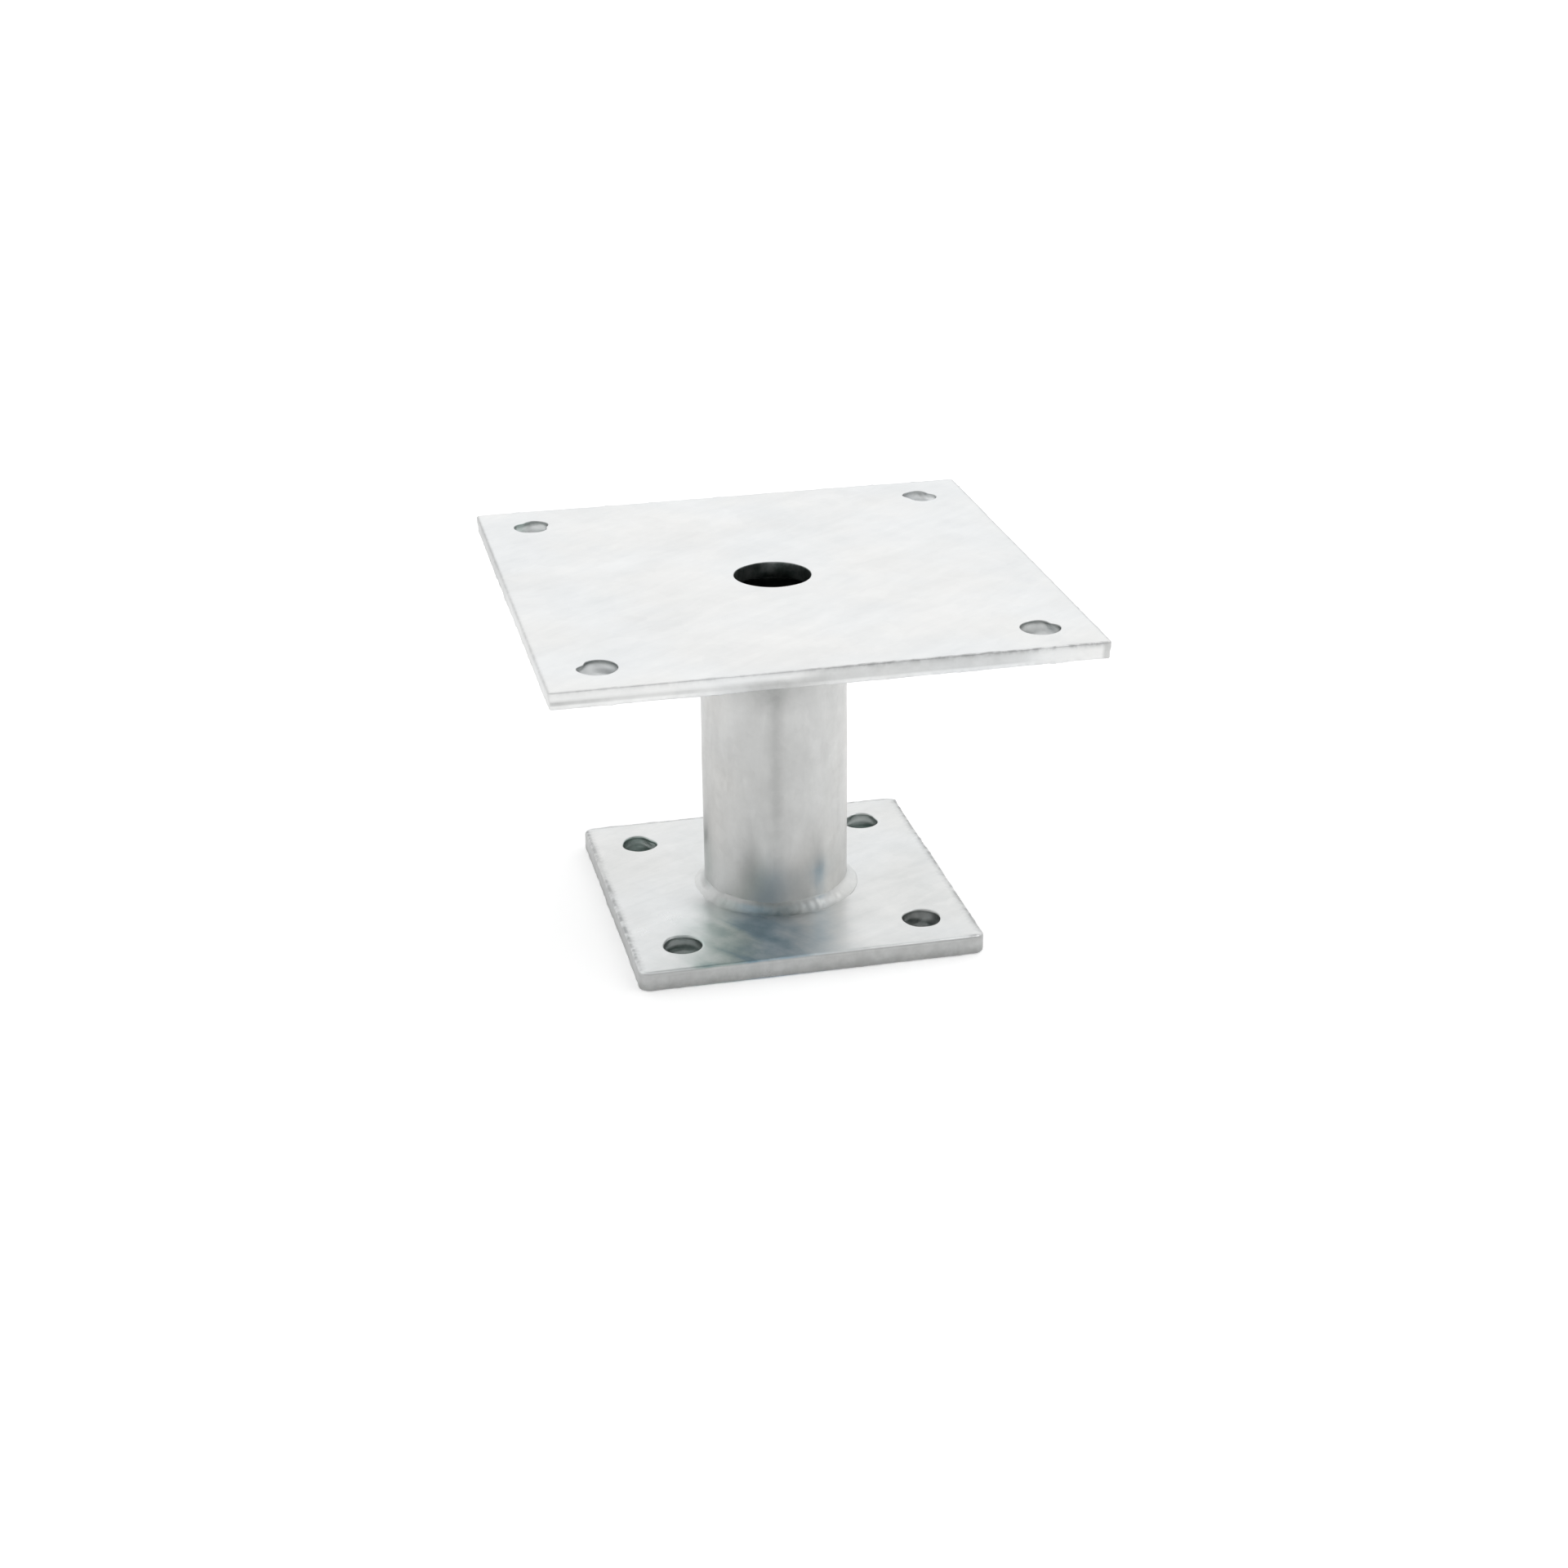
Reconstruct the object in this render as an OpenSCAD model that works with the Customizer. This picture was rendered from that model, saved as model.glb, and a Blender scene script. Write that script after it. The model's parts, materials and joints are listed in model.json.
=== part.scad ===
// Post anchor: a square plate on a short round tube on a smaller square plate.
// The tube's two ends butt against the plates and are fillet welded all round,
// and the whole weldment is hot-dip galvanised.
// Millimetres, +Z up. The origin is the centre of the base plate's underside.

/* [Top plate] */
// Width of the square plate that carries the post
top_w = 150; // [120:1:220]
// Thickness of the top plate
top_t = 5; // [4:0.5:12]
// Radius of the top plate's four corners, seen from above
top_corner_r = 1; // [1:0.5:12]
// Rounding along the top plate's sheared edges
top_edge_r = 0.5; // [0.2:0.1:0.9]
// Distance from the top plate's sides to its corner hole centres
top_hole_inset = 15; // [12:0.5:22]
// Diameter of the hole in the middle of the top plate
centre_hole_d = 22; // [14:0.5:24]

/* [Base plate] */
// Width of the square plate that is bolted down
base_w = 100; // [90:1:180]
// Thickness of the base plate
base_t = 6; // [4:0.5:12]
// Radius of the base plate's four corners, seen from above
base_corner_r = 3; // [2:0.5:12]
// Rounding along the base plate's edges
base_edge_r = 1; // [0.2:0.1:1.5]
// Distance from the base plate's sides to its corner hole centres
base_hole_inset = 15; // [12:0.5:18]

/* [Tube] */
// Outer diameter of the tube
tube_od = 42.4; // [33.7:0.1:48.3]
// Wall thickness of the tube
tube_wall = 3.2; // [2:0.1:4.5]
// Length of the tube, which is the clear height between the plates
tube_l = 91; // [50:1:250]

/* [Bolts] */
// Nominal diameter of the bolts in the corner holes of both plates
bolt_d = 10; // [8:1:12]
// Difference in diameter between a corner hole and its bolt
bolt_clearance = 1; // [0.5:0.5:2]

/* [Welds] */
// Leg of the fillet weld, along the tube and along the plate
weld_leg = 3; // [2:0.1:5]
// Depth of the weld's hollow face below the straight line between its toes
weld_hollow = 0.35; // [0.1:0.05:0.4]

/* [Hidden] */
$fn = 96;

tube_r = tube_od / 2;
tube_bore_r = tube_r - tube_wall;
bolt_hole_d = bolt_d + bolt_clearance;

// Heights of the tube's two ends, where the plates are welded on
tube_z = base_t;
top_z = tube_z + tube_l;

// The weld's hollow face is an arc through both toes
weld_half_chord = weld_leg / sqrt(2);
weld_face_r = (pow(weld_half_chord, 2) + pow(weld_hollow, 2)) / (2 * weld_hollow);
weld_face_centre = weld_leg / 2 + (weld_face_r - weld_hollow) / sqrt(2);

// How far a cutting shape runs past the face that it cuts
cut_past = 1;

galvanised = "Gainsboro";
dull_zinc = "Silver";
weld_zinc = "DarkGray";

// Cross-section of a plate of width w and thickness t, with its four edges rounded
module plate_section(w, t, edge_r) {
    translate([-w / 2, edge_r])
        square([w, t - 2 * edge_r]);
    translate([edge_r - w / 2, 0])
        square([w - 2 * edge_r, t]);
    for (x = [edge_r - w / 2, w / 2 - edge_r], y = [edge_r, t - edge_r])
        translate([x, y])
            circle(r = edge_r);
}

// One way across the plate: the section drawn out along Y, short of the corners
module plate_span(w, t, corner_r, edge_r) {
    rotate([90, 0, 0])
        linear_extrude(height = w - 2 * corner_r, center = true)
            plate_section(w, t, edge_r);
}

// A quarter turn of the section's end, which rounds one corner of the plate
module plate_corner(w, t, corner_r, edge_r) {
    translate([w / 2 - corner_r, w / 2 - corner_r, 0])
        rotate_extrude(angle = 90)
            intersection() {
                plate_section(2 * corner_r, t, edge_r);
                square([corner_r, t]);
            }
}

// Square plate lying on z = 0, centred on the Z axis
module plate_blank(w, t, corner_r, edge_r) {
    plate_span(w, t, corner_r, edge_r);
    rotate([0, 0, 90])
        plate_span(w, t, corner_r, edge_r);
    for (turn = [0:90:270])
        rotate([0, 0, turn])
            plate_corner(w, t, corner_r, edge_r);
}

// Drill through a plate of thickness t
module drill(d, t) {
    translate([0, 0, -cut_past])
        cylinder(d = d, h = t + 2 * cut_past);
}

// The four corner holes of a plate of width w and thickness t
module corner_drills(w, t, inset) {
    reach = w / 2 - inset;
    for (x = [-reach, reach], y = [-reach, reach])
        translate([x, y, 0])
            drill(bolt_hole_d, t);
}

module top_plate() {
    color(galvanised)
        translate([0, 0, top_z])
            difference() {
                plate_blank(top_w, top_t, top_corner_r, top_edge_r);
                corner_drills(top_w, top_t, top_hole_inset);
                drill(centre_hole_d, top_t);
            }
}

module base_plate() {
    color(galvanised)
        difference() {
            plate_blank(base_w, base_t, base_corner_r, base_edge_r);
            corner_drills(base_w, base_t, base_hole_inset);
        }
}

module tube() {
    color(dull_zinc)
        translate([0, 0, tube_z])
            difference() {
                cylinder(r = tube_r, h = tube_l);
                drill(2 * tube_bore_r, tube_l);
            }
}

// Half-section of a fillet weld that stands on a plate at y = 0 against the tube
module weld_section() {
    difference() {
        translate([tube_r, 0])
            square(weld_leg + weld_hollow);
        translate([tube_r + weld_face_centre, weld_face_centre])
            circle(r = weld_face_r);
    }
}

module weld_ring() {
    color(weld_zinc)
        rotate_extrude()
            weld_section();
}

module base_weld() {
    translate([0, 0, tube_z])
        weld_ring();
}

module top_weld() {
    translate([0, 0, top_z])
        mirror([0, 0, 1])
            weld_ring();
}

top_plate();
tube();
base_plate();
top_weld();
base_weld();
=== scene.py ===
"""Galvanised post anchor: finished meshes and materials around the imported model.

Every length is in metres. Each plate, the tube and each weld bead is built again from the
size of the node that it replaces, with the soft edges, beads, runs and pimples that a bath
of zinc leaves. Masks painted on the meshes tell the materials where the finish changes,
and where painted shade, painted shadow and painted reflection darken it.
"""
import json
import math

import bmesh
import bpy
import numpy as np
from mathutils import Matrix, Vector
from mathutils.geometry import delaunay_2d_cdt


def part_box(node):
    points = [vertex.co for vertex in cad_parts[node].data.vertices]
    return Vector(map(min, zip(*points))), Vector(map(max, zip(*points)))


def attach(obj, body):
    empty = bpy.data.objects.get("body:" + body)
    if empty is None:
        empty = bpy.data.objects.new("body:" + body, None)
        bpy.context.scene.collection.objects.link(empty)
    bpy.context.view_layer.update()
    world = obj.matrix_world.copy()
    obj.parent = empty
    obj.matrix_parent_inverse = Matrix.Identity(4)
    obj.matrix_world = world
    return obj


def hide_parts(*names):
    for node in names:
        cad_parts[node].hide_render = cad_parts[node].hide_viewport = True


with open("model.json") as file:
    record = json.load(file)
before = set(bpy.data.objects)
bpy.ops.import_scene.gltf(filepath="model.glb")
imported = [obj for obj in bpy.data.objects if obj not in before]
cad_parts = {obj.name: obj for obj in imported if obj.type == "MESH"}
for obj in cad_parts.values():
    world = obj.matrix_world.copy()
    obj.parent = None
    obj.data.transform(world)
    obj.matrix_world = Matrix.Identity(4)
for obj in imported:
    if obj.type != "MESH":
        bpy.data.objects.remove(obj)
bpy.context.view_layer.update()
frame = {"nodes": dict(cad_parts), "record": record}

MM = 0.001

# Camera, fitted to the plate corners and holes in the 1920 x 1920 frame
IMAGE_WIDTH_PX = 1920
FOCAL_PX = 3216.4
SENSOR_MM = 36.0
CAMERA_PLACE = (-152.6 * MM, -688.6 * MM, 346.9 * MM)
CAMERA_YAW = math.radians(12.716)
CAMERA_PITCH = math.radians(23.721)
CAMERA_ROLL = math.radians(-0.586)

# The way from the tube towards the camera, as an angle round the Z axis
FRONT_ANGLE = math.radians(-102.5)

# The ways that the sides of a plate face
FRONT, RIGHT, BACK, LEFT = (0, -1), (1, 0), (0, 1), (-1, 0)

# Spacing of the vertices on a plate's faces, along its sides, round its corners and holes,
# and down its walls, with the number of steps over a rounded arris
FACE_STEP = 1.25 * MM
EDGE_STEP = 0.9 * MM
CORNER_STEP = 0.35 * MM
HOLE_STEP = 0.4 * MM
WALL_STEP = 0.5 * MM
ARRIS_STEPS = 4

# How far in from a rounded arris the first ring and the lattice of a flat face lie. The ring
# has to stay short of the middle of the sharpest corner, or else its points fall together.
SUPPORT_GAP = 0.4 * MM
LATTICE_GAP = 1.1 * MM

# Shares of a sheared wall's height between which it falls back to its torn lower part
TORN_FROM, TORN_TO = 0.35, 0.6

# Zinc in a hole: its mean height on the wall in mm, the place and spread of its ring, and
# the spread of a bead, as shares of the plate's depth
HOLE_COAT = 0.06
RING_AT, RING_SPREAD = 0.8, 0.22
BEAD_SPREAD = 0.35


# Places round the Z axis and on a plate


def axis_radius(points):
    """How far points lie from the Z axis."""
    return np.hypot(points[:, 0], points[:, 1])


def axis_angle(points):
    """The angle at which points lie round the Z axis."""
    return np.arctan2(points[:, 1], points[:, 0])


def turn_between(angles, centre):
    """How far each angle lies from the centre angle, from 0 to pi."""
    return np.abs((angles - centre + math.pi) % (2 * math.pi) - math.pi)


def on_circle(angles, height=0.0):
    return np.column_stack([np.cos(angles), np.sin(angles), np.full(len(angles), height)])


def in_from_side(points, width):
    """How far points lie in from the nearest side of a square plate."""
    return width / 2 - np.abs(points[:, :2]).max(axis=1)


def seen_from_front(points):
    """How far points lie ahead of the Z axis and across it, as the camera sees them."""
    front = np.array([math.cos(FRONT_ANGLE), math.sin(FRONT_ANGLE)])
    x, y = points[:, 0], points[:, 1]
    return x * front[0] + y * front[1], y * front[0] - x * front[1]


# Sizes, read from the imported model


def mount_dims(name):
    return next(m for m in frame["record"]["mounts"] if m["name"] == name)["dims"]


def node_box(name):
    low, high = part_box(name)
    return np.array(low), np.array(high)


def node_radii(name):
    r = axis_radius(np.array([v.co for v in frame["nodes"][name].data.vertices]))
    return r.min(), r.max()


top_low, top_high = node_box("top_plate")
base_low, base_high = node_box("base_plate")
tube_low, tube_high = node_box("tube")
weld_low, weld_high = node_box("base_weld")
tube_inner_r, tube_outer_r = node_radii("tube")
weld_leg = weld_high[2] - weld_low[2]
top_width = top_high[0] - top_low[0]
base_width = base_high[0] - base_low[0]


# Smooth random fields and falloffs


class Waves:
    """A smooth random field: cosine waves of the given lengths in random directions.

    grain stretches the field along one axis, by the factor that it gives."""

    def __init__(self, seed, count, shortest, longest, grain=(1, 1, 1)):
        draw = np.random.RandomState(seed)
        way = draw.normal(size=(count, 3))
        way /= np.linalg.norm(way, axis=1)[:, None]
        length = shortest * (longest / shortest) ** draw.uniform(size=count)
        self.k = way * (2 * math.pi / length)[:, None] / np.array(grain)
        self.phase = draw.uniform(0, 2 * math.pi, count)
        self.scale = math.sqrt(2 / count)

    def __call__(self, points):
        return self.scale * np.cos(points @ self.k.T + self.phase).sum(axis=1)


def smooth_step(x, low, high):
    """From 0 at low to 1 at high, where low may also be the greater of the two."""
    t = np.clip((x - low) / (high - low), 0, 1)
    return t * t * (3 - 2 * t)


def bell(distance, radius):
    return np.exp(-((distance / radius) ** 2))


def band(angles, centre, spread):
    """A soft band round a centre angle, with the centre and the spread in degrees."""
    return bell(turn_between(angles, math.radians(centre)), math.radians(spread))


# Meshes


def make_object(name, verts, faces):
    mesh = bpy.data.meshes.new(name)
    mesh.from_pydata([tuple(v) for v in verts], [], faces)
    shell = bmesh.new()
    shell.from_mesh(mesh)
    bmesh.ops.recalc_face_normals(shell, faces=shell.faces)
    shell.to_mesh(mesh)
    shell.free()
    mesh.shade_smooth()
    piece = bpy.data.objects.new(name, mesh)
    bpy.context.scene.collection.objects.link(piece)
    return piece


def mesh_points(piece):
    co = np.empty(len(piece.data.vertices) * 3)
    piece.data.vertices.foreach_get("co", co)
    return co.reshape(-1, 3)


def mesh_normals(piece):
    no = np.empty(len(piece.data.vertices) * 3, dtype=np.float32)
    piece.data.vertex_normals.foreach_get("vector", no)
    return no.reshape(-1, 3).astype(float)


def move_points(piece, points):
    piece.data.vertices.foreach_set("co", points.ravel())
    piece.data.update()


def paint(piece, name, values):
    layer = piece.data.attributes.new(name, "FLOAT", "POINT")
    layer.data.foreach_set("value", np.clip(values, 0, 1).astype(np.float32))


def ring_faces(rings, around, start=0, closed=False):
    """Quads between rings of as many points; closed joins the last ring to the first."""
    faces = []
    for k in range(rings if closed else rings - 1):
        low, high = start + k * around, start + (k + 1) % rings * around
        for i in range(around):
            j = (i + 1) % around
            faces.append((low + i, low + j, high + j, high + i))
    return faces


# Plates


class Side:
    """The outer side of a square plate with rounded corners."""

    def __init__(self, width, corner_r):
        half = width / 2 - corner_r
        corner_steps = max(4, math.ceil(corner_r * math.pi / 2 / CORNER_STEP))
        side_steps = round(2 * half / EDGE_STEP)
        points, normals = [], []
        for quarter in range(4):
            turn = quarter * math.pi / 2
            spin = np.array([[math.cos(turn), -math.sin(turn)], [math.sin(turn), math.cos(turn)]])
            for i in range(1, side_steps):
                points.append(spin @ (width / 2, -half + 2 * half * i / side_steps))
                normals.append(spin @ (1, 0))
            for i in range(corner_steps + 1):
                a = math.pi / 2 * i / corner_steps
                out = np.array([math.cos(a), math.sin(a)])
                points.append(spin @ (half + corner_r * out))
                normals.append(spin @ out)
        self.points, self.normals = np.array(points), np.array(normals)

    def loop(self, depth, inset):
        """The outline, set back into the metal. It is the same at every depth."""
        return self.points - self.normals * inset


class Hole:
    """A hole in a plate, with the zinc that has set on its wall.

    ring is the height in mm of the ring of zinc that hangs in its lower part. Each bead is
    (angle, height, spread, depth), in degrees, mm, degrees and share of the depth.
    shades are how much painted shade darkens the rim, the wall, the wall above the ring and
    the ring."""

    def __init__(self, centre, radius, seed, ring, shades, beads=()):
        count = round(2 * math.pi * radius / HOLE_STEP)
        self.centre, self.radius = np.array(centre), radius
        self.angles = np.arange(count) * 2 * math.pi / count
        self.ripple = Waves(seed, count=12, shortest=1.6, longest=6.0)
        self.ring, self.shades, self.beads = ring, shades, beads

    def loop(self, depth, inset):
        """The outline at a share of the plate's depth, set back into the metal."""
        out = on_circle(self.angles)
        ripple = self.ripple(on_circle(self.angles, 1.5 * depth) * 2)
        ring = self.ring * (1 + 0.3 * ripple) * bell(depth - RING_AT, RING_SPREAD)
        zinc = HOLE_COAT * (1 + ripple) + ring
        for angle, height, spread, at in self.beads:
            zinc += height * band(self.angles, angle, spread) * bell(depth - at, BEAD_SPREAD)
        return self.centre + out[:, :2] * (self.radius - zinc * MM + inset)[:, None]

    def distance(self, x, y):
        """How far places lie from the hole's rim, more than 0 outside it."""
        return np.hypot(x - self.centre[0], y - self.centre[1]) - self.radius

    def shade(self, points, depth):
        """How much painted shade darkens the wall, in wavering bands down the plate's depth."""
        angles = axis_angle(points[:, :2] - self.centre)
        waver = 0.08 * self.ripple(on_circle(angles, 3.0))
        rim, wall, above_ring, ring = self.shades
        bands = (0.18, 0.36, 0.48, 0.62, 0.78)
        return np.interp(depth + waver, bands, (rim, wall, wall, above_ring, ring))

    def wall_mask(self, points, normals):
        """One on the hole's wall, and none on the plate's faces."""
        near = 1 - smooth_step(self.distance(points[:, 0], points[:, 1]), 0, 0.3 * MM)
        return near * (1 - smooth_step(np.abs(normals[:, 2]), 0.6, 0.95))


def section(z_low, z_high, edge_r, ledge=0.0):
    """A wall's section from the upper face to the lower one, as (inset, z) pairs.

    ledge is how far the torn lower part of a sheared wall lies behind the upper part."""
    support = edge_r + SUPPORT_GAP
    quarter = [math.pi / 2 * i / ARRIS_STEPS for i in range(ARRIS_STEPS + 1)]
    upper = [(edge_r * (1 - math.sin(a)), z_high - edge_r * (1 - math.cos(a))) for a in quarter]
    lower = [
        (ledge + edge_r * (1 - math.sin(a)), z_low + edge_r * (1 - math.cos(a)))
        for a in reversed(quarter)
    ]
    height = z_high - z_low - 2 * edge_r
    steps = max(3, math.ceil(height / WALL_STEP))
    shares = [i / steps for i in range(1, steps)]
    wall = [
        (ledge * float(smooth_step(share, TORN_FROM, TORN_TO)), z_high - edge_r - height * share)
        for share in shares
    ]
    return [(support, z_high)] + upper + wall + lower + [(support, z_low)]


def inside(point, loop):
    """Whether a ray from the point to its right crosses the loop an odd number of times."""
    x, y = loop[:, 0], loop[:, 1]
    x2, y2 = np.roll(x, -1), np.roll(y, -1)
    spans = (y > point[1]) != (y2 > point[1])
    cross = x[spans] + (point[1] - y[spans]) * (x2 - x)[spans] / (y2 - y)[spans]
    return np.count_nonzero(cross > point[0]) % 2 == 1


def face_triangles(loops, lattice):
    """Triangles of the flat face inside the first loop and outside the others.

    They are worked out in millimetres, where the step that counts as touching is 1e-5."""
    points = np.concatenate(loops + [lattice])
    edges, start = [], 0
    for loop in loops:
        n = len(loop)
        edges += [(start + i, start + (i + 1) % n) for i in range(n)]
        start += n
    flat = [Vector((float(x), float(y))) for x, y in points / MM]
    _, _, faces, origin, _, _ = delaunay_2d_cdt(flat, edges, [], 0, 1e-5)
    keep = []
    for face in faces:
        corners = [origin[i][0] for i in face]
        if max(corners) < start:
            middle = points[corners].mean(axis=0)
            if not inside(middle, loops[0]) or any(inside(middle, h) for h in loops[1:]):
                continue
        keep.append(corners)
    return keep


def face_lattice(width, holes, margin):
    """A triangular lattice over a square face, clear of its edges and holes."""
    half = width / 2 - margin
    rows = int(2 * half / (FACE_STEP * math.sqrt(3) / 2))
    points = []
    for j in range(rows + 1):
        x = np.arange(-half + (j % 2) * FACE_STEP / 2, half + 0.001 * MM, FACE_STEP)
        points.append(np.column_stack([x, np.full(len(x), -half + 2 * half * j / rows)]))
    points = np.concatenate(points)
    for hole in holes:
        points = points[hole.distance(*points.T) > margin]
    return points


def plate_mesh(name, width, z_low, z_high, corner_r, edge_r, rim_r, holes, ledge=0.0):
    """A square drilled plate as one closed mesh."""
    verts, faces, loops, top_index, low_index = [], [], [], [], []
    count = 0
    for wall in [Side(width, corner_r)] + holes:
        outer = isinstance(wall, Side)
        steps = section(z_low, z_high, edge_r if outer else rim_r, ledge if outer else 0.0)
        rings = [wall.loop((z_high - z) / (z_high - z_low), inset) for inset, z in steps]
        around = len(rings[0])
        verts += [np.column_stack([r, np.full(around, z)]) for r, (_, z) in zip(rings, steps)]
        faces += ring_faces(len(rings), around, start=count)
        loops.append(rings[0])
        top_index += range(count, count + around)
        count += around * len(rings)
        low_index += range(count - around, count)
    lattice = face_lattice(width, holes, edge_r + LATTICE_GAP)
    for z, index in ((z_high, top_index), (z_low, low_index)):
        verts.append(np.column_stack([lattice, np.full(len(lattice), z)]))
        index += range(count, count + len(lattice))
        count += len(lattice)
    for a, b, c in face_triangles(loops, lattice):
        faces.append((top_index[a], top_index[b], top_index[c]))
        faces.append((low_index[c], low_index[b], low_index[a]))
    return make_object(name, np.concatenate(verts), faces)


def corner_holes(mount, seed, ring, shades_and_beads):
    """The four holes of a bolt pattern: front left, front right, back right, back left.

    shades_and_beads gives the painted shade and the beads of each."""
    dims = mount_dims(mount)
    half_x, half_y = dims["spacing_x_mm"] / 2 * MM, dims["spacing_y_mm"] / 2 * MM
    corners = [(-half_x, -half_y), (half_x, -half_y), (half_x, half_y), (-half_x, half_y)]
    return [
        Hole(corner, dims["hole_r_mm"] * MM, seed + i, ring, shades, beads)
        for i, (corner, (shades, beads)) in enumerate(zip(corners, shades_and_beads))
    ]


# Round pieces


def lathe(name, rings):
    """A closed mesh from rings of (radii, heights), each an array over equal angles."""
    around = len(rings[0][0])
    circle = on_circle(np.arange(around) * 2 * math.pi / around)[:, :2]
    verts = [np.column_stack([circle * r[:, None], z]) for r, z in rings]
    return make_object(name, np.concatenate(verts), ring_faces(len(rings), around, closed=True))


def tube_mesh(name, outer_r, inner_r, z_low, z_high):
    """The tube with square ends, in rows 1 mm high outside and fewer inside."""
    height = z_high - z_low
    rows, inner_rows, around = round(height / MM), 30, 240
    outside = [(outer_r, z_low + height * i / rows) for i in range(rows + 1)]
    inner = [(inner_r, z_high - height * i / inner_rows) for i in range(inner_rows + 1)]
    return lathe(name, [(np.full(around, r), np.full(around, z)) for r, z in outside + inner])


def weld_mesh(name, tube_r, leg, z_face, up, seed):
    """A fillet bead against the tube: a hollow face with soft ripples and wandering toes.

    up is 1 for a bead on top of a plate and -1 for one under it. The face is a curve from
    toe to toe, pulled in towards the corner by hollow. The toes run out past the leg by
    feather and dip into the steel by buried, and the closed back lies root deep in it."""
    around, face_points, ripples = 480, 17, 62
    root, feather, buried = 0.3 * MM, 0.3 * MM, 0.06 * MM
    hollow, wandering, crest_height, lump_height = 0.6, 0.06, 0.03, 0.05
    angles = np.arange(around) * 2 * math.pi / around
    circle = on_circle(angles)
    wander = Waves(seed, count=14, shortest=0.9, longest=6.0)
    lumps = Waves(seed + 1, count=18, shortest=0.3, longest=1.2)
    reach = (leg + feather) * (1 + wandering * wander(2 * circle))
    climb = (leg + feather) * (1 + wandering * wander(2 * circle + 9))
    lag = 0.9 * wander(3 * circle)
    rough = lumps(3 * circle)
    rings = []
    for i in range(face_points):
        t = i / (face_points - 1)
        out = (1 - t) ** 3 * reach + 3 * t * (1 - t) ** 2 * hollow * reach - t**3 * buried
        rise = t**3 * climb + 3 * t * t * (1 - t) * hollow * climb - (1 - t) ** 3 * buried
        crest = np.cos(ripples * angles + 5 * (2 * t - 1) ** 2 + lag)
        swell = math.sin(math.pi * t) * MM * (crest_height * crest + lump_height * rough)
        swell *= math.sqrt(0.5)
        rings.append((tube_r + out + swell, z_face + up * (rise + swell)))
    rings.append((np.full(around, tube_r - root), np.full(around, z_face - up * root)))
    return lathe(name, rings)


# The zinc's relief

broad = Waves(seed=11, count=28, shortest=16 * MM, longest=48 * MM)
flow = Waves(seed=12, count=48, shortest=5 * MM, longest=13 * MM)
runs = Waves(seed=13, count=48, shortest=4 * MM, longest=12 * MM, grain=(1, 1, 5))
torn = Waves(seed=14, count=60, shortest=2.2 * MM, longest=5 * MM)


def pimples(points, places, radius, height):
    """Rounded bumps of dross at the given places."""
    rise = np.zeros(len(points))
    for place in places:
        rise += height * bell(np.linalg.norm(points - place, axis=1), radius)
    return rise


def along_edges(draw, count, half, z_low, z_high, lower_share=0.65):
    """Places scattered along a plate's four edges, lower_share of them on the lower arris."""
    places = []
    for _ in range(count):
        along = draw.uniform(-half, half)
        side = draw.randint(4)
        z = z_low if draw.uniform() < lower_share else z_high
        spot = [(along, -half), (half, along), (along, half), (-half, along)][side]
        places.append(np.array([*spot, z]))
    return places


def plate_relief(points, width, z_low, z_high, seed):
    """Swells and flow marks, beads along the arrises, spots on top, and a torn lower side."""
    half, draw = width / 2, np.random.RandomState(seed)
    rise = MM * (0.035 * broad(points) + 0.022 * flow(points))
    beads = along_edges(draw, count=60, half=half, z_low=z_low, z_high=z_high)
    rise += pimples(points, beads, radius=0.75 * MM, height=0.2 * MM)
    spots = [np.array([*draw.uniform(-half, half, 2), z_high]) for _ in range(30)]
    rise += pimples(points, spots, radius=0.9 * MM, height=0.08 * MM)
    on_side = bell(in_from_side(points, width), 0.6 * MM)
    lower = smooth_step((z_high - points[:, 2]) / (z_high - z_low), 0.4, TORN_TO)
    return rise + 0.035 * MM * torn(points) * on_side * lower


# Masks that the materials read


def arris_mask(points, width, z_low, z_high, upper, lower):
    """Marks along the two arrises, which reach further over the sides than the faces."""
    inward, reach = 2 * in_from_side(points, width), 1.0 * MM
    on_upper = upper * bell(np.hypot(inward, z_high - points[:, 2]), reach)
    on_lower = lower * bell(np.hypot(inward, points[:, 2] - z_low), reach)
    return np.maximum(on_upper, on_lower)


def bore_shade_mask(points, normals, holes, z_low, z_high):
    """Each hole's own painted shade down its wall."""
    depth = (z_high - points[:, 2]) / (z_high - z_low)
    mask = np.zeros(len(points))
    for hole in holes:
        mask = np.maximum(mask, hole.shade(points, depth) * hole.wall_mask(points, normals))
    return mask


def side_mask(points, width, way):
    """One on the side of a plate that faces the given way."""
    from_side = width / 2 - points[:, :2] @ np.array(way)
    return 1 - smooth_step(from_side, 0.1 * MM, 0.7 * MM)


def rim_mask(points, normals, width):
    """One on all four sides of a plate, its rounded corners included."""
    near = 1 - smooth_step(in_from_side(points, width), MM, 1.4 * MM)
    return near * (1 - smooth_step(np.abs(normals[:, 2]), 0.3, 0.8))


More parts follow.
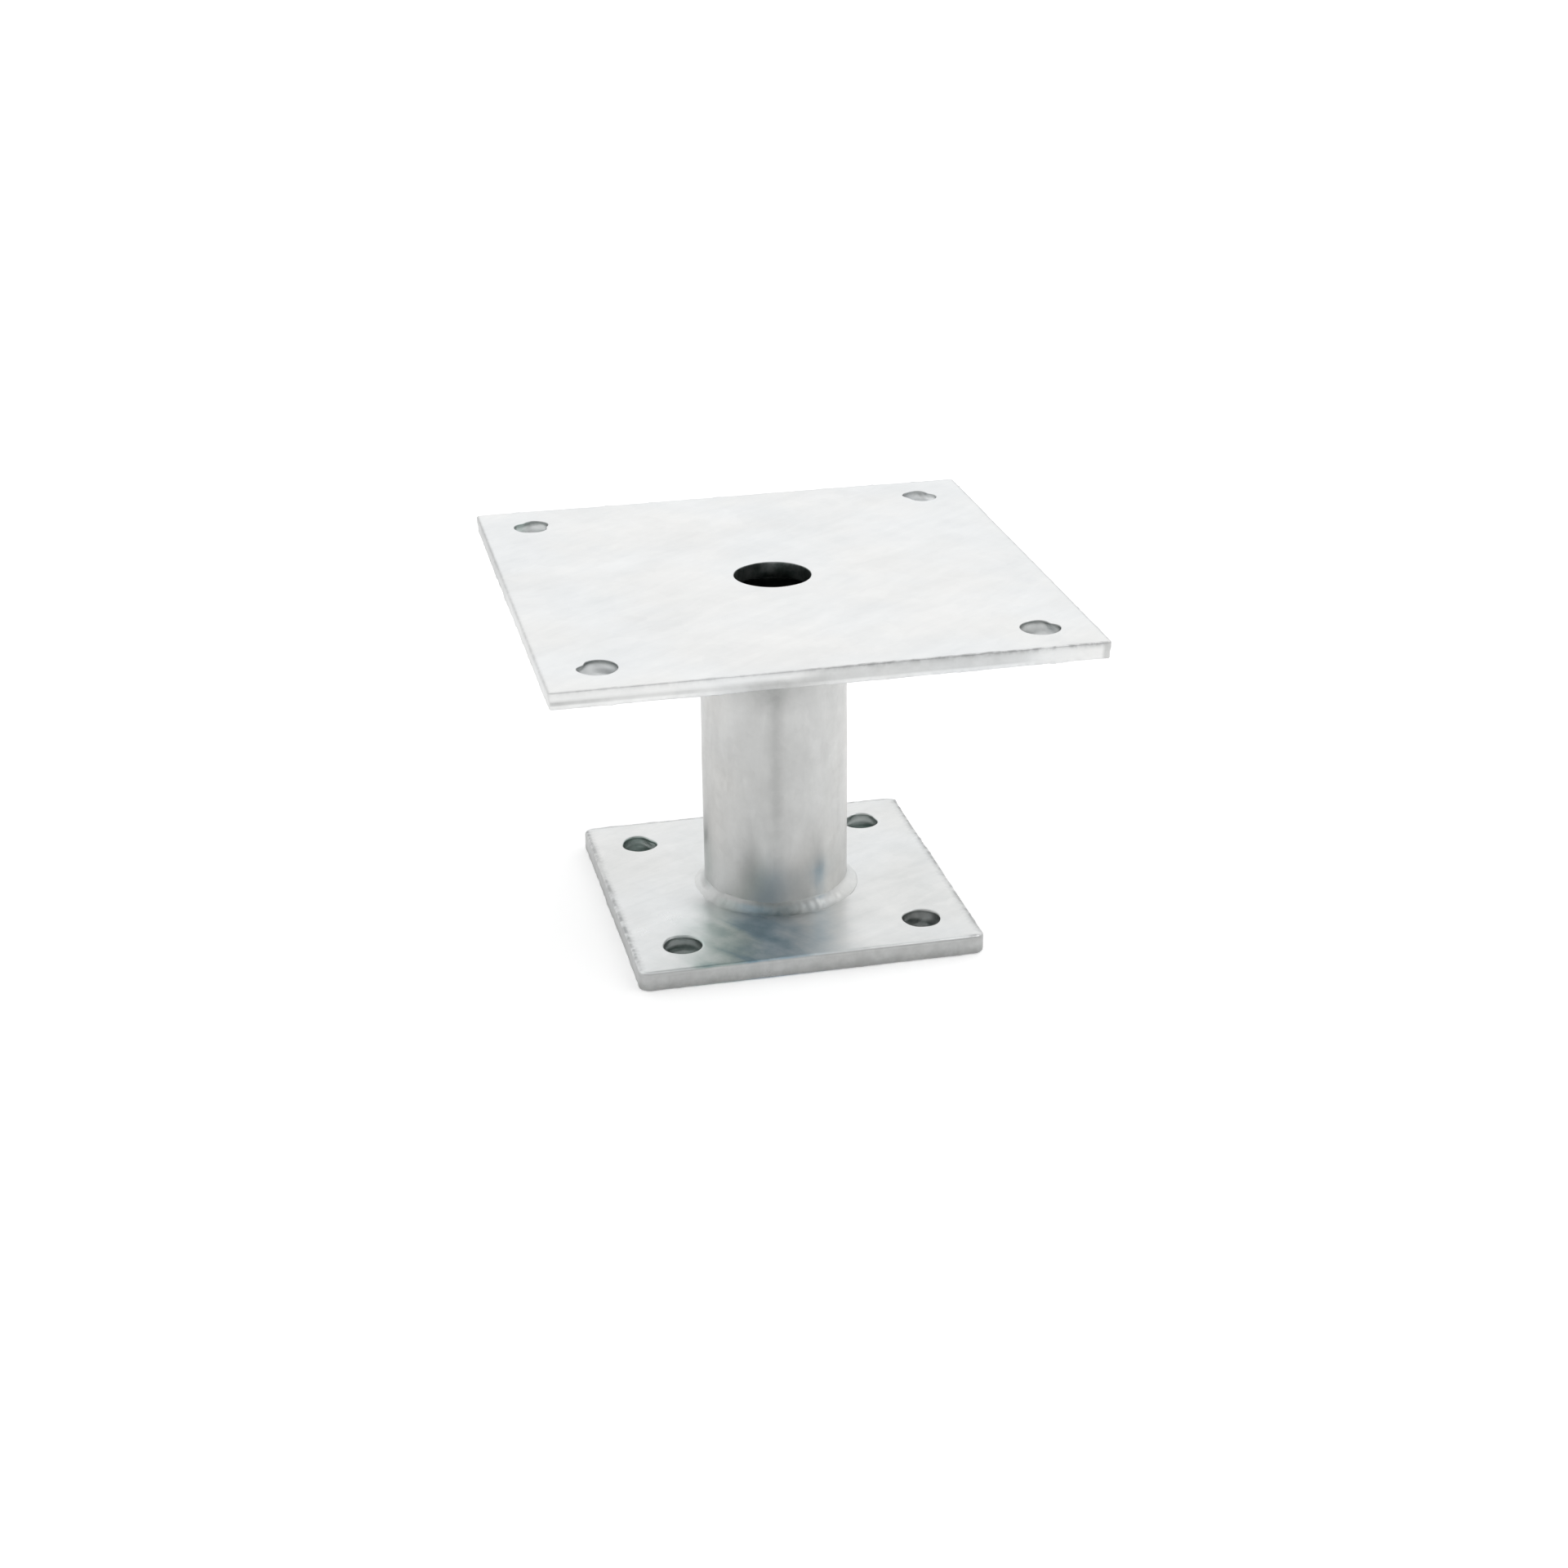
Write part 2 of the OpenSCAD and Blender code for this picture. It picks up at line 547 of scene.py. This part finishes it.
def stain_and_reflection_on_plate(points, drift):
    """The stain and the painted reflection of the tube on the base plate, which lie ahead of the
    tube and a little to its left.

    They deepen away from the bead, are paler right of the tube's foot, and have a line of
    their own along the front arris."""
    ahead, across = seen_from_front(points)
    spread = 0.78 * bell(across + 6 * MM + drift, 19.5 * MM)
    right_lobe = 0.1 * bell(across - 14 * MM, 9 * MM)
    clear_of_tube = smooth_step(ahead, 8 * MM, 20 * MM)
    deepening = 0.68 + 0.32 * smooth_step(ahead, 23 * MM, 31 * MM)
    near_foot = 1 - smooth_step(ahead, 28 * MM, 38 * MM)
    pale_patch = 0.4 * bell(across - 6.5 * MM, 7 * MM) * near_foot
    pool = (spread + right_lobe) * clear_of_tube * deepening * (1 - pale_patch)
    leftward, from_arris = -points[:, 0], points[:, 1] + base_width / 2
    along_arris = bell(from_arris, 5.5 * MM) * smooth_step(leftward, -6 * MM, 10 * MM)
    along_arris *= 1 - smooth_step(leftward, 30 * MM, 42 * MM)
    return np.maximum(pool, 0.75 * along_arris)


def stain_and_reflection_mask(points):
    """The blue-green stain and painted reflection in front of the tube, with fainter streaks of
    both up the tube's foot.
    """
    drift = MM * (1.2 * broad(points) + 1.0 * flow(points))
    on_plate = stain_and_reflection_on_plate(points, drift)
    angles, up = axis_angle(points), points[:, 2] - base_high[2]
    foot = 1 - smooth_step(up + 0.7 * drift, 10 * MM, 20 * MM)
    foot *= 0.5 + 0.5 * smooth_step(up, 3 * MM, 10 * MM)
    streaks = 0.24 * band(angles, -112, 15) + 0.36 * band(angles, -66, 6)
    streaks += 0.22 * band(angles, -68, 26) + 0.35 * band(angles, -175, 14)
    off_tube = smooth_step(axis_radius(points) - tube_outer_r, 0.1 * MM, MM)
    return np.where(off_tube > 0, (1 - off_tube) * streaks + off_tube * on_plate, streaks * foot)


def blue_mask(points):
    """How blue the stain and painted reflection are: green at the left, and blue from the middle
    to the right.
    """
    ahead, across = seen_from_front(points)
    return smooth_step(across, -18 * MM, 0) * smooth_step(ahead, 0, 8 * MM)


def seam_and_reflection_mask(points):
    """The tube's own weld seam up its front, in a broad band; the darkening of both is a
    painted reflection of the dark room.
    """
    angles = axis_angle(points)
    return 0.5 * band(angles, -101, 5.5) + 0.5 * band(angles, -103, 32)


# The top plate

# Each hole's painted shade on its rim, wall, wall above the ring and ring, then its beads
top_holes = corner_holes(
    "top_bolts", seed=101, ring=0.35,
    shades_and_beads=[
        ((0.85, 0.2, 0.25, 0.3), [(140, 1.3, 24, 0.05), (230, 0.5, 30, 0.8)]),
        ((0.8, 0.4, 0.5, 0.35), [(32, 1.3, 24, 0.05), (300, 0.4, 30, 0.8)]),
        ((0.5, 0.05, 0.0, 0.0), [(30, 1.6, 35, 0.0), (205, 1.6, 38, 0.0)]),
        ((0.75, 0.2, 0.1, 0.05), [(120, 1.0, 24, 0.0), (345, 1.5, 30, 0.2)]),
    ],
)
centre_r = mount_dims("centre_hole")["r_mm"] * MM
# The centre hole's wall is painted fully dark, as shade from the tube below it
top_holes.append(Hole((0, 0), centre_r, seed=109, ring=0.1, shades=(1, 1, 1, 1)))
top_plate = plate_mesh(
    "top_plate_galvanised", top_width, top_low[2], top_high[2],
    corner_r=1.0 * MM, edge_r=0.5 * MM, rim_r=0.4 * MM, holes=top_holes, ledge=0.2 * MM,
)


def sheared_marks(points):
    """Beads on the left side, and a run of small ones along the front upper arris."""
    half, draw = top_width / 2, np.random.RandomState(seed=7)
    left = [np.array([-half, y * MM, top_low[2] + 2 * MM]) for y in (34, 30, 12, 7)]
    front = [np.array([x * MM, -half, top_high[2]]) for x in draw.uniform(-8, 45, 26)]
    beads = pimples(points, left, radius=1.6 * MM, height=0.35 * MM)
    return beads + pimples(points, front, radius=0.6 * MM, height=0.15 * MM)


def cut_dullness_and_shade(points):
    """How dark the sheared sides are: dull cut metal, with painted shade over the tube.

    The front has a torn line at its left, a patch of painted shade over the tube, and a darker
    right half above a bright lowest part. The left side is darker towards the back."""
    x, y, z = points.T
    half = top_width / 2
    depth = (top_high[2] - z) / (top_high[2] - top_low[2])
    leftward = 1 - smooth_step(x, -40 * MM, -24 * MM)
    right_half = smooth_step(x, -12 * MM, 0) * (1 - smooth_step(x, 44 * MM, 60 * MM))
    torn_line = leftward * bell(depth - 0.64, 0.12) * (0.4 + 0.4 * bell(x + half, 12 * MM))
    front = (0.1 + 0.4 * right_half + torn_line) * (1 - smooth_step(depth, 0.72, 0.84))
    # Painted shade over the tube
    front += 0.8 * bell(x + 17 * MM, 13 * MM) * smooth_step(depth, 0.25, 0.7)
    front += 0.5 * smooth_step(x, half - 2.6 * MM, half - 1.8 * MM)
    left = 0.3 + 0.35 * smooth_step(y, 0, 40 * MM)
    return (
        left * side_mask(points, top_width, LEFT)
        + front * side_mask(points, top_width, FRONT)
        + 0.3 * side_mask(points, top_width, RIGHT)
        + 0.3 * side_mask(points, top_width, BACK)
    )


def dress_top_plate(plate, holes):
    """The top plate's relief and masks: its blue-green tinge is only inside its back left hole.
    """
    points, normals = mesh_points(plate), mesh_normals(plate)
    low, high = top_low[2], top_high[2]
    rise = plate_relief(points, top_width, low, high, seed=201) + sheared_marks(points)
    move_points(plate, points + normals * rise[:, None])
    # Dark arris lines: wear along the upper arris, and painted shade along the lower one
    rightward = smooth_step(points[:, 0], -20 * MM, 20 * MM)
    upper, lower = 0.3 + 0.5 * rightward, 0.2 + 0.1 * rightward
    paint(plate, "edge_wear_and_shade", arris_mask(points, top_width, low, high, upper, lower))
    paint(plate, "deep_shade", bore_shade_mask(points, normals, holes, low, high))
    paint(plate, "dull_and_shade", cut_dullness_and_shade(points))
    back_left = holes[3]
    leftward = smooth_step(back_left.centre[0] - points[:, 0], -2 * MM, 3 * MM)
    paint(plate, "stain_and_reflection", 0.45 * leftward * back_left.wall_mask(points, normals))


dress_top_plate(top_plate, top_holes)

# The base plate

# How strongly the blue-green tinge colours the wall of each of its holes
BASE_HOLE_TINGES = (0.2, 0, 0.35, 0.5)

# Each hole's painted shade on its rim, wall, wall above the ring and ring, then its beads
base_holes = corner_holes(
    "base_bolts", seed=301, ring=0.4,
    shades_and_beads=[
        ((0.6, 0.5, 1.0, 0.65), [(150, 0.3, 25, 0.0)]),
        ((0.65, 0.6, 1.0, 0.85), [(200, 0.3, 30, 0.0)]),
        ((0.35, 0.1, 1.0, 1.0), [(130, 1.0, 28, 0.0), (10, 0.7, 28, 0.0)]),
        ((0.5, 0.35, 1.0, 1.0), [(30, 1.4, 38, 0.1), (160, 0.6, 30, 0.0)]),
    ],
)
base_plate = plate_mesh(
    "base_plate_galvanised", base_width, base_low[2], base_high[2],
    corner_r=3.0 * MM, edge_r=1.0 * MM, rim_r=0.6 * MM, holes=base_holes,
)


def base_edge_wear_and_shade(points):
    """Worn arrises, with painted shade along the lower one by the floor. The upper one is bright
    along the front, except at its right end.
    """
    from_front, from_right = base_width / 2 + points[:, 1], base_width / 2 - points[:, 0]
    dark = np.maximum(
        smooth_step(from_front, MM, 4 * MM), smooth_step(from_right, 7 * MM, 3 * MM)
    )
    across = bell(in_from_side(points, base_width) - 0.6 * MM, 0.8 * MM)
    upper_line = 0.8 * dark * across * bell(base_high[2] - points[:, 2], 0.9 * MM)
    low, high = base_low[2], base_high[2]
    arrises = arris_mask(points, base_width, low, high, upper=0.1, lower=0.7)
    return np.maximum(upper_line, arrises)


def dress_base_plate(plate, holes):
    """The base plate's relief, which spares its flat underside, and its masks."""
    points, normals = mesh_points(plate), mesh_normals(plate)
    low, high = base_low[2], base_high[2]
    rise = plate_relief(points, base_width, low, high, seed=401)
    rise *= 1 - smooth_step(-normals[:, 2], 0.5, 0.9)
    move_points(plate, points + normals * rise[:, None])
    # Painted shade on the base plate's sides, darker towards the floor
    sides = rim_mask(points, normals, base_width)
    downward = smooth_step(high - points[:, 2], 2 * MM, 5 * MM)
    stain_and_reflection = stain_and_reflection_mask(points) * (1 - 0.9 * sides)
    for hole, tinge in zip(holes, BASE_HOLE_TINGES):
        stain_and_reflection = np.maximum(stain_and_reflection, tinge * hole.wall_mask(points, normals))
    # A painted shadow on the plate beside the bead's left front
    from_tube = axis_radius(points) - tube_outer_r
    beside_bead = 0.4 * bell(from_tube - 4 * MM, 4.5 * MM) * band(axis_angle(points), -154, 14)
    paint(plate, "edge_wear_and_shade", base_edge_wear_and_shade(points))
    paint(plate, "deep_shade", bore_shade_mask(points, normals, holes, low, high))
    paint(plate, "dull_and_shade", np.maximum(sides * (0.75 + 0.25 * downward), beside_bead))
    paint(plate, "stain_and_reflection", stain_and_reflection)
    paint(plate, "blue", blue_mask(points))


dress_base_plate(base_plate, base_holes)

# The tube

tube = tube_mesh("tube_galvanised", tube_outer_r, tube_inner_r, tube_low[2], tube_high[2])


def tube_painted_shade(points):
    """Painted shade on the tube: under the top plate, a painted reflection up its seam, and
    at its foot on the left.
    """
    angles = axis_angle(points)
    up, down = points[:, 2] - tube_low[2], tube_high[2] - points[:, 2]
    # Painted shade under the top plate
    near_top = smooth_step(down, 32 * MM, 20 * MM)
    near_top *= 0.12 + 0.45 * band(angles, -105, 26)
    near_top += 0.6 * bell(down, 6.5 * MM) * band(angles, -106, 15)
    # Painted reflection of the dark room up the front, round the seam
    seam = (0.3 + 0.38 * smooth_step(up, 8 * MM, 34 * MM)) * seam_and_reflection_mask(points)
    # Painted shade at the foot on the left
    left_foot = 0.65 * band(angles, -178, 13) * (1 - 0.6 * smooth_step(up, 18 * MM, 30 * MM))
    left_foot *= 1 - smooth_step(up, 34 * MM, 60 * MM)
    return seam + near_top + left_foot


def dress_tube(piece):
    """The tube's relief and masks. Its inside is plain, and painted dark all over as shade."""
    points = mesh_points(piece)
    radius = axis_radius(points)
    radial = points * (1, 1, 0) / radius[:, None]
    outside = radius > (tube_outer_r + tube_inner_r) / 2
    rise = MM * (0.03 * broad(points) + 0.03 * runs(points) + 0.05 * seam_and_reflection_mask(points))
    move_points(piece, points + radial * (outside * rise)[:, None])
    paint(piece, "stain_and_reflection", outside * stain_and_reflection_mask(points))
    paint(piece, "blue", blue_mask(points))
    paint(piece, "dull_and_shade", outside * tube_painted_shade(points))
    paint(piece, "deep_shade", 1.0 - outside)


dress_tube(tube)

# The weld beads

base_weld = weld_mesh("base_weld_bead", tube_outer_r, weld_leg, base_high[2], up=1, seed=21)
top_weld = weld_mesh("top_weld_bead", tube_outer_r, weld_leg, top_low[2], up=-1, seed=25)


def dress_base_weld(bead):
    """The lower bead's masks: painted shade on its front and to both sides, and the stain and
    painted reflection as around it.
    """
    points = mesh_points(bead)
    angles = axis_angle(points)
    up_tube = 1 - smooth_step(axis_radius(points) - tube_outer_r, 0.8 * MM, 1.8 * MM)
    left = np.maximum(0.72 * band(angles, -150, 23), 0.6 * up_tube * band(angles, -176, 18))
    paint(bead, "stain_and_reflection", 0.75 * stain_and_reflection_mask(points))
    paint(bead, "blue", blue_mask(points))
    paint(bead, "dull_and_shade", left + 0.5 * band(angles, -62, 24))
    paint(bead, "deep_shade", 0.85 * band(angles, -104, 26))


dress_base_weld(base_weld)

for piece, node, slot in (
    (top_plate, "top_plate", "plate_zinc"),
    (base_plate, "base_plate", "base_zinc"),
    (tube, "tube", "tube_zinc"),
    (base_weld, "base_weld", "weld_zinc"),
    (top_weld, "top_weld", "weld_zinc"),
):
    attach(piece, "root")
    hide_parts(node)


# Materials


class Graph:
    """Short calls for building a node tree."""

    def __init__(self, tree):
        self.tree = tree
        tree.nodes.clear()

    def add(self, kind, inputs=None, **settings):
        made = self.tree.nodes.new(kind)
        for key, value in settings.items():
            setattr(made, key, value)
        for key, value in (inputs or {}).items():
            self.set(made.inputs[key], value)
        return made

    def set(self, socket, value):
        if isinstance(value, bpy.types.NodeSocket):
            self.tree.links.new(value, socket)
        else:
            socket.default_value = value

    def math(self, operation, a, b=0.0, clamp=False):
        made = self.add("ShaderNodeMath", {0: a, 1: b}, operation=operation, use_clamp=clamp)
        return made.outputs[0]

    def weighted(self, start, *terms, clamp=False):
        """start, plus each term's distance from a half times the weight that it gives."""
        total = start
        for value, weight in terms:
            offset = self.math("MULTIPLY", self.math("SUBTRACT", value, 0.5), weight)
            total = self.math("ADD", offset, total, clamp=clamp)
        return total

    def noise(self, vector, scale, detail=4.0, roughness=0.55, distortion=0.0):
        inputs = {
            "Vector": vector, "Scale": scale, "Detail": detail,
            "Roughness": roughness, "Distortion": distortion,
        }
        return self.add("ShaderNodeTexNoise", inputs).outputs["Fac"]

    def range(self, value, low, high, to_low, to_high):
        inputs = {
            "Value": value, "From Min": low, "From Max": high,
            "To Min": to_low, "To Max": to_high,
        }
        made = self.add("ShaderNodeMapRange", inputs, interpolation_type="SMOOTHSTEP")
        return made.outputs["Result"]

    def mix(self, factor, a, b, blend="MIX"):
        made = self.add("ShaderNodeMix", {0: factor}, data_type="RGBA", blend_type=blend)
        self.set(made.inputs[6], a)
        self.set(made.inputs[7], b)
        return made.outputs[2]

    def attribute(self, name):
        return self.add("ShaderNodeAttribute", attribute_name=name).outputs["Fac"]

    def drawn_out(self, vector, turn, stretch):
        """Coordinates in which a pattern is drawn out along axes that are turned round Z."""
        inputs = {"Vector": vector, "Rotation": (0, 0, math.radians(turn)), "Scale": stretch}
        return self.add("ShaderNodeMapping", inputs, vector_type="TEXTURE").outputs["Vector"]


# Colours of the stain with its painted reflection, of worn arrises with painted shade, of dull
# cut sides with painted shade, and of deep painted shade in holes and other dark places
STAIN_AND_REFLECTION_GREEN = (0.27, 0.385, 0.35, 1)
STAIN_AND_REFLECTION_BLUE = (0.185, 0.325, 0.42, 1)
STAIN_AND_REFLECTION_DEEP = (0.10, 0.19, 0.24, 1)
EDGE_WEAR_AND_SHADE = (0.24, 0.245, 0.25, 1)
DULL_CUT_AND_SHADE = (0.35, 0.355, 0.35, 1)
DEEP_SHADE_COLOUR = (0.07, 0.09, 0.085, 1)
TINT_COOL = (0.985, 0.995, 1.0, 1)
TINT_WARM = (1.0, 0.996, 0.985, 1)


def spangle_tone(g, place, size):
    """The faint crystals of the zinc: one tone for each wandering cell."""
    shake = g.add("ShaderNodeTexNoise", {"Vector": place, "Scale": 0.8 / size, "Detail": 2.0})
    by = g.add(
        "ShaderNodeVectorMath",
        {0: shake.outputs["Color"], "Scale": 0.7 * size},
        operation="SCALE",
    )
    moved = g.add("ShaderNodeVectorMath", {0: place, 1: by.outputs[0]}, operation="ADD")
    cells = g.add("ShaderNodeTexVoronoi", {"Vector": moved.outputs[0], "Scale": 1 / size})
    return g.add("ShaderNodeSeparateColor", {"Color": cells.outputs["Color"]}).outputs[0]


def zinc(name, light, dark, roughness, wisp_turn, wisp_stretch, wisp_weight, spangle):
    """Galvanised steel: clouded, faintly spangled zinc with drawn-out wisps, darkened where the
    masks paint shade, shadow and reflection.

    The scales of the noises are in cells per metre, and spangle is a crystal's size."""
    material = bpy.data.materials.new(name)
    material.use_nodes = True
    g = Graph(material.node_tree)
    place = g.add("ShaderNodeTexCoord").outputs["Object"]
    drawn_out = g.drawn_out(place, wisp_turn, wisp_stretch)
    clouds = g.noise(place, scale=38.0, detail=6.0, roughness=0.65, distortion=0.4)
    wisps = g.noise(drawn_out, scale=190.0, detail=5.0, roughness=0.62, distortion=0.6)
    grain = g.noise(place, scale=700.0, detail=3.0, roughness=0.6)
    crystal = spangle_tone(g, place, spangle)

    tone = g.weighted(
        0.42, (clouds, 1.2), (wisps, wisp_weight), (grain, 0.2), (crystal, 0.12), clamp=True
    )
    colour = g.mix(tone, light, dark)
    warmth = g.range(g.noise(place, scale=21.0, detail=3.0), 0.35, 0.65, 0, 1)
    colour = g.mix(1.0, colour, g.mix(warmth, TINT_COOL, TINT_WARM), "MULTIPLY")

    # Worn arrises, with painted shade along the lower ones
    breaks = g.range(g.noise(place, scale=420.0, detail=3.0), 0.35, 0.65, 0.35, 1.0)
    marked_edge = g.math("MULTIPLY", g.attribute("edge_wear_and_shade"), breaks)
    colour = g.mix(marked_edge, colour, EDGE_WEAR_AND_SHADE)
    patches = g.noise(place, scale=260.0, detail=4.0, roughness=0.6)
    patchy = g.range(patches, 0.3, 0.7, 0.8, 1.0)
    # Painted shade over dull cut sides, the base plate's sides, the tube and the bead
    colour = g.mix(g.math("MULTIPLY", g.attribute("dull_and_shade"), patchy), colour, DULL_CUT_AND_SHADE)
    # Deep painted shade in the holes, inside the tube and on the bead's front
    colour = g.mix(g.math("MULTIPLY", g.attribute("deep_shade"), patchy), colour, DEEP_SHADE_COLOUR)

    # The stain, with the painted reflection of the tube and the plate in each other
    upward, slanting = g.drawn_out(place, 0, (1, 1, 6)), g.drawn_out(place, -58, (4, 1, 1))
    streaks = g.noise(upward, scale=210.0, detail=4.0, roughness=0.6)
    sweeps = g.noise(slanting, scale=130.0, detail=3.0, roughness=0.5, distortion=0.5)
    stain_and_reflection = g.attribute("stain_and_reflection")
    thinned = g.math("MULTIPLY", stain_and_reflection, g.weighted(1.0, (streaks, 0.8), (sweeps, 1.4)))
    hue = g.range(g.weighted(g.attribute("blue"), (clouds, 1.2), (sweeps, 1.2)), 0.1, 0.9, 0, 1)
    tinge = g.mix(hue, STAIN_AND_REFLECTION_GREEN, STAIN_AND_REFLECTION_BLUE)
    tinge = g.mix(g.range(thinned, 0.55, 1.1, 0, 0.6), tinge, STAIN_AND_REFLECTION_DEEP)
    colour = g.mix(g.range(thinned, 0, 1, 0, 0.85), colour, tinge)

    rough = g.weighted(roughness, (clouds, 0.12), (crystal, 0.04), (grain, 0.04), clamp=True)
    peel = g.noise(place, scale=230.0, detail=3.0, roughness=0.5)
    height = g.weighted(0.5, (grain, 0.08), (peel, 0.8))
    bump = g.add("ShaderNodeBump", {"Strength": 0.16, "Distance": 0.0001, "Height": height})
    shader = g.add(
        "ShaderNodeBsdfPrincipled",
        {
            "Base Color": colour, "Metallic": 0.92, "Roughness": rough,
            "Normal": bump.outputs["Normal"],
        },
    )
    g.add("ShaderNodeOutputMaterial", {"Surface": shader.outputs["BSDF"]})
    return material


# The tube's zinc, and a little the base plate's, is painted darker as shade under the top plate
top_plate.data.materials.append(
    zinc(
        "plate_zinc_look", light=(0.91, 0.915, 0.915, 1), dark=(0.79, 0.80, 0.805, 1),
        roughness=0.38, wisp_turn=35, wisp_stretch=(5, 1, 1), wisp_weight=0.9, spangle=7 * MM,
    )
)
base_plate.data.materials.append(
    zinc(
        "base_zinc_look", light=(0.86, 0.865, 0.865, 1), dark=(0.70, 0.715, 0.715, 1),
        roughness=0.31, wisp_turn=28, wisp_stretch=(5, 1, 1), wisp_weight=0.9, spangle=5 * MM,
    )
)
tube.data.materials.append(
    zinc(
        "tube_zinc_look", light=(0.70, 0.698, 0.687, 1), dark=(0.52, 0.518, 0.51, 1),
        roughness=0.32, wisp_turn=0, wisp_stretch=(1, 1, 3), wisp_weight=0.9, spangle=3 * MM,
    )
)
for weld in (base_weld, top_weld):
    weld.data.materials.append(
        zinc(
            weld.name + "_look", light=(0.82, 0.825, 0.82, 1), dark=(0.66, 0.67, 0.665, 1),
            roughness=0.4, wisp_turn=0, wisp_stretch=(1, 1, 1), wisp_weight=0.7, spangle=3 * MM,
        )
    )

# The floor, the room, the lamp and the camera

FLOOR_HALF = 30.0
FLOOR_DROP = 0.02 * MM
FLOOR_WHITE = (0.92, 0.92, 0.92, 1)
LIGHT_WHITE = (1, 1, 1, 1)

# What the floor adds of its own to its white where it is seen, and where metal mirrors it
FLOOR_LIFT_SEEN = 0.33
FLOOR_LIFT_MIRRORED = 0.2

# The room's white, and how far it falls above the horizon on the camera's side
ROOM_BRIGHT = 1.0
ROOM_DARK = 0.6
ROOM_DARK_WAY = (math.cos(FRONT_ANGLE), math.sin(FRONT_ANGLE), 0)


def floor_material():
    """Matt white paper that is lifted to white where it is seen, and keeps its shadows."""
    material = bpy.data.materials.new("floor_look")
    material.use_nodes = True
    g = Graph(material.node_tree)
    path = g.add("ShaderNodeLightPath").outputs
    mirrored = g.math("MAXIMUM", path["Is Glossy Ray"], path["Is Transmission Ray"])
    lift = g.math(
        "ADD",
        g.math("MULTIPLY", path["Is Camera Ray"], FLOOR_LIFT_SEEN),
        g.math("MULTIPLY", mirrored, FLOOR_LIFT_MIRRORED),
    )
    matt = g.add("ShaderNodeBsdfDiffuse", {"Color": FLOOR_WHITE})
    glow = g.add("ShaderNodeEmission", {"Color": LIGHT_WHITE, "Strength": lift})
    both = g.add("ShaderNodeAddShader", {0: matt.outputs[0], 1: glow.outputs[0]})
    g.add("ShaderNodeOutputMaterial", {"Surface": both.outputs[0]})
    return material


def make_floor():
    half = FLOOR_HALF
    corners = [(-half, -half), (half, -half), (half, half), (-half, half)]
    mesh = bpy.data.meshes.new("floor")
    mesh.from_pydata([(x, y, -FLOOR_DROP) for x, y in corners], [], [(0, 1, 2, 3)])
    mesh.materials.append(floor_material())
    floor = bpy.data.objects.new("floor", mesh)
    bpy.context.scene.collection.objects.link(floor)
    return floor


floor = make_floor()


def light_room():
    """A white room all round, darker from a little above the horizon on the camera's side."""
    world = bpy.data.worlds.new("studio")
    bpy.context.scene.world = world
    world.use_nodes = True
    g = Graph(world.node_tree)
    way = g.add("ShaderNodeTexCoord").outputs["Generated"]
    height = g.add("ShaderNodeSeparateXYZ", {"Vector": way}).outputs["Z"]
    facing = g.add("ShaderNodeVectorMath", {0: way, 1: ROOM_DARK_WAY}, operation="DOT_PRODUCT")
    front = g.range(facing.outputs["Value"], -0.2, 0.8, 0.0, 1.0)
    above = g.range(height, 0.1, 0.35, 0.0, 1.0)
    level = g.range(g.math("MULTIPLY", front, above), 0.0, 1.0, ROOM_BRIGHT, ROOM_DARK)
    room = g.add("ShaderNodeBackground", {"Color": LIGHT_WHITE, "Strength": level})
    g.add("ShaderNodeOutputWorld", {"Surface": room.outputs[0]})


light_room()


def area_lamp(name, place, aim, size, watts):
    lamp = bpy.data.lights.new(name, "AREA")
    lamp.shape = "SQUARE"
    lamp.size = size
    lamp.energy = watts
    thing = bpy.data.objects.new(name, lamp)
    thing.location = place
    thing.rotation_euler = (Vector(aim) - Vector(place)).to_track_quat("-Z", "Y").to_euler()
    bpy.context.scene.collection.objects.link(thing)


area_lamp("soft_key", place=(0.9, -0.3, 1.3), aim=(0, 0, 0.05), size=0.9, watts=3.0)


def make_camera():
    """The fitted camera: yaw turns it right of +Y, pitch down, and roll lifts its right."""
    data = bpy.data.cameras.new("camera")
    data.sensor_width = SENSOR_MM
    data.lens = FOCAL_PX / IMAGE_WIDTH_PX * SENSOR_MM
    camera = bpy.data.objects.new("camera", data)
    cy, sy = math.cos(CAMERA_YAW), math.sin(CAMERA_YAW)
    cp, sp = math.cos(CAMERA_PITCH), math.sin(CAMERA_PITCH)
    ahead = Vector((sy * cp, cy * cp, -sp))
    level = Vector((cy, -sy, 0))
    above = level.cross(ahead)
    right = math.cos(CAMERA_ROLL) * level + math.sin(CAMERA_ROLL) * above
    up = math.cos(CAMERA_ROLL) * above - math.sin(CAMERA_ROLL) * level
    turn = Matrix((right, up, -ahead)).transposed().to_4x4()
    camera.matrix_world = Matrix.Translation(CAMERA_PLACE) @ turn
    bpy.context.scene.collection.objects.link(camera)
    bpy.context.scene.camera = camera


make_camera()
bpy.context.scene.view_settings.view_transform = "Standard"
